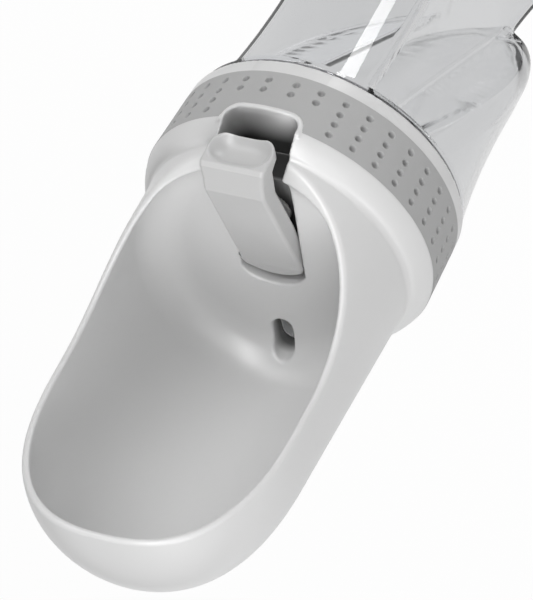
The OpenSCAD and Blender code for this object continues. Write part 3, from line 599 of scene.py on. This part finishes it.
class Graph:
    """A node tree, with the few kinds of node that the materials are made of."""

    def __init__(self, owner):
        owner.use_nodes = True
        self.nodes, self.links = owner.node_tree.nodes, owner.node_tree.links

    def add(self, kind, **values):
        node = self.nodes.new("ShaderNode" + kind)
        set_sockets(node, **values)
        return node

    def feed(self, value, socket):
        """Sets a socket to a number or a colour, or links it to another node's output."""
        if isinstance(value, float):
            socket.default_value = value
        elif isinstance(value, tuple):
            socket.default_value = (*value, 1)
        else:
            self.links.new(value, socket)

    def sum(self, operation, first, second):
        node = self.add("Math")
        node.operation = operation
        self.feed(first, node.inputs[0])
        self.feed(second, node.inputs[1])
        return node.outputs[0]

    def product(self, first, *others):
        for other in others:
            first = self.sum("MULTIPLY", first, other)
        return first

    def ramp(self, value, start, end, low=0.0, high=1.0):
        node = self.add("MapRange", From_Min=start, From_Max=end, To_Min=low, To_Max=high)
        self.feed(value, node.inputs["Value"])
        return node.outputs["Result"]

    def blend(self, first, second, factor):
        """A mix of two colours."""
        node = self.add("Mix")
        node.data_type = "RGBA"
        for name, value in (("A", first), ("B", second), ("Factor", factor)):
            self.feed(value, node.inputs[name])
        return node.outputs["Result"]

    def place(self):
        return self.add("TexCoord").outputs["Object"]

    def noise(self, place, **values):
        node = self.add("TexNoise", **values)
        self.feed(place, node.inputs["Vector"])
        return node.outputs["Fac"]

    def relief(self, height, shader, strength, distance):
        node = self.add("Bump", Strength=strength, Distance=distance)
        self.feed(height, node.inputs["Height"])
        self.feed(node.outputs["Normal"], shader.inputs["Normal"])

    def millimetres(self, place):
        """The three parts of a place on a piece."""
        parts = self.add("SeparateXYZ")
        self.feed(place, parts.inputs["Vector"])
        return [self.sum("MULTIPLY", parts.outputs[k], 1 / MM) for k in "XYZ"]

    def rho(self, x, y):
        squares = [self.sum("MULTIPLY", part, part) for part in (x, y)]
        return self.sum("POWER", self.sum("ADD", *squares), 0.5)

    def rays(self, first, *others):
        """1 for a ray of one of these kinds."""
        path = self.add("LightPath")
        seen = path.outputs[f"Is {first} Ray"]
        for kind in others:
            seen = self.sum("MAXIMUM", seen, path.outputs[f"Is {kind} Ray"])
        return seen

    def level(self, through):
        """1, or another level for rays that come through the clear bottle."""
        node = self.add("Mix", A=1.0)
        self.feed(through, node.inputs["B"])
        self.feed(self.rays("Transmission"), node.inputs["Factor"])
        return node.outputs["Result"]

    def switch(self, factor, first, second, output):
        """Goes from the first shader to the second with the factor."""
        node = self.add("MixShader")
        self.feed(factor, node.inputs["Fac"])
        self.feed(first.outputs[0], node.inputs[1])
        self.feed(second.outputs[0], node.inputs[2])
        self.feed(node.outputs[0], self.nodes[output].inputs["Surface"])


def new_material(name):
    material = bpy.data.materials.new(name)
    graph = Graph(material)
    return material, graph, graph.nodes["Principled BSDF"]


# Painted shade where shade gathers. Each function gives how strongly a place, in millimetres, is painted
# dark.
PAINTED_SHADE, LIP_PAINTED_SHADOW = (0.03, 0.03, 0.03), (0.12, 0.12, 0.13)
PAINTED_SHADE_TOP, WELL_FULL, OUTLET_FULL = 0.3, 3.5, 3.0  # depths under the bowl's floor
OUTLET_PAINTED_SHADE, DOT_PAINTED_SHADE = 0.75, 0.3
# Where a painted shade sets in and where it is full, in depth at its front and back, and to the side
WELL_EDGES = (-36.0, -27.0), (6.5, 1.0), (10.2, 9.8)
OUTLET_EDGES = (15.0, 16.0), (31.5, 30.5), (4.6, 4.0)
# The same for a height over the seam, a dimple's depth, and under and inside the lip's edge
SEAM_PAINTED_SHADE, DOT_EDGES, LIP_UNDER, LIP_INSIDE = (0.25, 0.05), (0.05, 0.5), (0.6, 0.35), (1.8, 1.0)


def well_shade(graph, x, y, z):
    """Painted shade deep in the trough under the lever and in the outlet, and on the face at the seam."""
    height = graph.sum("SUBTRACT", z, graph.sum("MULTIPLY", y, math.tan(FLOOR_TILT)))
    level = SEAM_Z + FLOOR_Z
    aside = graph.sum("ABSOLUTE", x, 0.0)

    def pocket(full, front, back, side):
        return graph.product(graph.ramp(height, level - PAINTED_SHADE_TOP, level - full),
                             graph.ramp(y, *front), graph.ramp(y, *back), graph.ramp(aside, *side))

    well = pocket(WELL_FULL, *WELL_EDGES)
    outlet = graph.product(pocket(OUTLET_FULL, *OUTLET_EDGES), OUTLET_PAINTED_SHADE)
    seam = graph.ramp(z, *(SEAM_Z + over for over in SEAM_PAINTED_SHADE))
    return graph.sum("MAXIMUM", graph.sum("MAXIMUM", well, outlet), seam)


def dot_shade(graph, x, y, z):
    """Painted shade down in the dimples of the grip band."""
    draft = graph.product(graph.sum("SUBTRACT", z, SEAM_Z + BAND_TOP), COLLAR_DRAFT / BAND_TOP)
    face = graph.sum("ADD", draft, COLLAR_R + BAND_PROUD)
    depth = graph.sum("SUBTRACT", face, graph.rho(x, y))
    return graph.product(graph.ramp(depth, *DOT_EDGES), DOT_PAINTED_SHADE)


def lip_shade(graph, x, y, z):
    """Painted shadow on the outer part of the lip's upper face, close under the collar."""
    upper = graph.ramp(z, *(LIP_TOP - under for under in LIP_UNDER))
    return graph.product(upper, graph.ramp(graph.rho(x, y), *(LIP_R - inside for inside in LIP_INSIDE)))


def plastic(name, colour, roughness, grain, bump, scale=900.0, specular=0.5, shade=None):
    """Moulded plastic or rubber: a fine spark-eroded grain in the gloss and the surface."""
    material, graph, shader = new_material(name)
    set_sockets(shader, Specular_IOR_Level=specular)
    place = graph.place()
    fine = graph.noise(place, Scale=scale, Detail=3.0, Roughness=0.6)
    broad = graph.noise(place, Scale=28.0, Detail=2.0)
    gloss = graph.ramp(fine, 0.0, 1.0, roughness - grain, roughness + grain)
    graph.feed(gloss, shader.inputs["Roughness"])
    darker, lighter = (tuple(part * k for part in colour) for k in (0.975, 1.015))
    tint = graph.blend(darker, lighter, broad)
    if shade:
        # painted shade: the colour goes toward near black where the shade function says shade gathers
        tint = graph.blend(tint, PAINTED_SHADE, shade(graph, *graph.millimetres(place)))
    graph.feed(tint, shader.inputs["Base Color"])
    graph.relief(fine, shader, bump, 0.0001)
    return material


def clear_plastic(name):
    """Clear, slightly uneven plastic, through which lamps and soft light pass straight."""
    material, graph, shader = new_material(name)
    set_sockets(shader, Roughness=0.02, IOR=1.45, Transmission_Weight=1.0)
    place = graph.place()
    uneven = graph.noise(place, Scale=45.0, Detail=2.0)
    tint = graph.blend((0.93, 0.935, 0.945), (0.97, 0.975, 0.98), uneven)
    # painted shadow: the lip's upper face goes darker where it lies close under the collar
    tint = graph.blend(tint, LIP_PAINTED_SHADOW, lip_shade(graph, *graph.millimetres(place)))
    graph.feed(tint, shader.inputs["Base Color"])
    graph.relief(uneven, shader, 0.04, 0.0004)
    straight = graph.add("BsdfTransparent", Color=(0.93, 0.935, 0.94, 1))
    graph.switch(graph.rays("Shadow", "Diffuse"), shader, straight, "Material Output")
    return material


def steel(name):
    material, graph, shader = new_material(name)
    set_sockets(shader, Metallic=1.0, Base_Color=(0.62, 0.62, 0.63, 1))
    worn = graph.noise(graph.place(), Scale=1500.0, Detail=2.0)
    graph.feed(graph.ramp(worn, 0.0, 1.0, 0.22, 0.4), shader.inputs["Roughness"])
    return material


MATERIALS = {
    # the shell carries painted shade in its trough, its outlet and at the seam
    "shell": plastic("shell", (0.66, 0.66, 0.66), 0.34, 0.03, 0.08, shade=well_shade),
    "lever_shell": plastic("lever_shell", (0.54, 0.54, 0.54), 0.34, 0.03, 0.08),
    # the grip band carries painted shade in its dimples
    "grip": plastic("grip", (0.41, 0.41, 0.41), 0.62, 0.05, 0.22, 1300.0, 0.4, dot_shade),
    "white_plastic": plastic("white_plastic", (0.8, 0.8, 0.79), 0.4, 0.04, 0.08),
    "silicone": plastic("silicone", (0.75, 0.76, 0.77), 0.5, 0.05, 0.1),
    "black_rubber": plastic("black_rubber", (0.03, 0.03, 0.03), 0.6, 0.05, 0.15),
    "steel": steel("steel"),
    "clear": clear_plastic("clear"),
}


def dress(piece, body, slot, *nodes):
    piece.data.materials.clear()
    piece.data.materials.append(MATERIALS[slot])
    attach(piece, body)
    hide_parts(*nodes)


# ---------- pieces ----------

SHELL_MESH, LEVER_MESH = 0.6, 0.3  # steps of the surface nets
SHELL_BOX = (-39, -39.5, -1), (39, 39, BOWL_H + DOME_H + 1)
LEVER_BOX = (-9.2, -39.5, 23), (9.2, 5.5, 39)

shell = moulding("head_shell", head_shell, *SHELL_BOX, SHELL_MESH, SEAM_Z)
dress(shell, "head", "shell", "drinking_bowl")
band = dimpled_band()
dress(band, "head", "grip", "grip_band")
lever = moulding("lever_moulding", thumb_lever, *LEVER_BOX, LEVER_MESH, SEAM_Z)
dress(lever, "lever", "lever_shell", "thumb_lever")
body = clear_bottle()
dress(body, "bottle", "clear", "bottle")

REPLACED = {"drinking_bowl", "grip_band", "thumb_lever", "bottle"}
SLOTS = {row["node"]: row["material_slot"] for row in frame["record"]["subparts"]}
for name, node in frame["nodes"].items():
    if name in REPLACED:
        continue
    node.data.materials.clear()
    node.data.materials.append(MATERIALS[SLOTS[name]])

# ---------- camera: a long lens, about 34 degrees above the upright bottle ----------

FOCAL_PX, FRAME_W = 6540.3, 533
RIGHT = Vector((-0.8904, 0.19, -0.4137))
DOWN = Vector((-0.1916, 0.668, 0.7191))
AHEAD = Vector((0.4129, 0.7195, -0.5584))
EYE = Vector((-641.08, -1109.24, 903.28 + SEAM_Z)) * MM

camera_data = bpy.data.cameras.new("camera")
camera_data.sensor_fit = "HORIZONTAL"
camera_data.sensor_width = 36
camera_data.lens = FOCAL_PX / FRAME_W * camera_data.sensor_width
camera_data.clip_start = 0.1
camera = bpy.data.objects.new("camera", camera_data)
camera.matrix_world = Matrix.Translation(EYE) @ Matrix((RIGHT, -DOWN, -AHEAD)).transposed().to_4x4()
bpy.context.collection.objects.link(camera)
bpy.context.scene.camera = camera


# ---------- stage and light ----------

LAMP_SIZE, LAMP_AWAY, HEAD_MIDDLE = 0.7, 1.2, Vector((0, 0, 0.19))
FLOOR_SIDE, FLOOR_DROP = 4.0, 0.0005
NEAR, BEYOND = 0.3, 1.2  # distances over which the floor seen through the bottle darkens


def area_light(name, shape, power):
    data = bpy.data.lights.new(name, "AREA")
    data.shape = shape
    data.energy = power
    light = bpy.data.objects.new(name, data)
    bpy.context.collection.objects.link(light)
    return light


def lamp(name, direction, power):
    """A soft box in a direction from the head."""
    light = area_light(name, "DISK", power)
    light.data.size = LAMP_SIZE
    way = Vector(direction).normalized()
    light.location = HEAD_MIDDLE + way * LAMP_AWAY
    light.rotation_euler = way.to_track_quat("Z", "Y").to_euler()


def strip(name, start, end, width, power, aim_z):
    """A strip light between two points, in millimetres, seen only as a highlight."""
    light = area_light(name, "RECTANGLE", power)
    along = Vector(end) - Vector(start)
    light.data.size, light.data.size_y = along.length * MM, width * MM
    along.normalize()
    centre = (Vector(start) + Vector(end)) / 2
    back = centre - Vector((0, 0, aim_z))
    back = (back - along * back.dot(along)).normalized()
    turn = Matrix((along, back.cross(along), back)).transposed().to_4x4()
    light.matrix_world = Matrix.Translation(centre * MM) @ turn
    light.visible_camera = light.visible_diffuse = light.visible_transmission = False


def white_stage():
    """A pale floor, white to the camera, that keeps a faint shadow."""
    material, graph, shader = new_material("stage")
    set_sockets(shader, Base_Color=(0.8, 0.8, 0.8, 1), Roughness=0.9)
    away = graph.add("VectorMath")
    away.operation = "LENGTH"
    graph.feed(graph.place(), away.inputs[0])
    through = graph.ramp(away.outputs["Value"], NEAR, BEYOND, 0.6, 0.25)
    glow = graph.add("Emission")
    graph.feed(graph.level(through), glow.inputs["Strength"])
    seen = graph.product(graph.rays("Camera", "Glossy", "Transmission"), 0.96)
    graph.switch(seen, shader, glow, "Material Output")
    mesh = bpy.data.meshes.new("floor")
    corners = [(FLOOR_SIDE * i, FLOOR_SIDE * j, 0) for i, j in ((-1, -1), (1, -1), (1, 1), (-1, 1))]
    mesh.from_pydata(corners, [], [(0, 1, 2, 3)])
    mesh.materials.append(material)
    floor = bpy.data.objects.new("floor", mesh)
    floor.location.z = -FLOOR_DROP
    bpy.context.collection.objects.link(floor)


def white_world():
    """A world that lights the object softly and is white behind it."""
    world = bpy.data.worlds.new("world")
    bpy.context.scene.world = world
    graph = Graph(world)
    soft = graph.nodes["Background"]
    set_sockets(soft, Color=(1, 1, 1, 1), Strength=0.214)
    white = graph.add("Background", Color=(1, 1, 1, 1))
    graph.feed(graph.level(0.4), white.inputs["Strength"])
    graph.switch(graph.rays("Camera", "Transmission"), soft, white, "World Output")


white_stage()
white_world()
lamp("top", -AHEAD + DOWN, 10.3)
lamp("front", -AHEAD - RIGHT - DOWN, 5.2)
lamp("fill", -AHEAD, 3.0)
lamp("under", DOWN - AHEAD * 0.3, 1.0)
strip("bottle_strip", (-20, -115, 2), (-33, -240, 2), width=27, power=0.1, aim_z=120)
strip("bowl_strip", (36, -490, 1280), (0, -1164, 470), width=80, power=11.0, aim_z=190)

scene = bpy.context.scene
scene.view_settings.view_transform = "Standard"
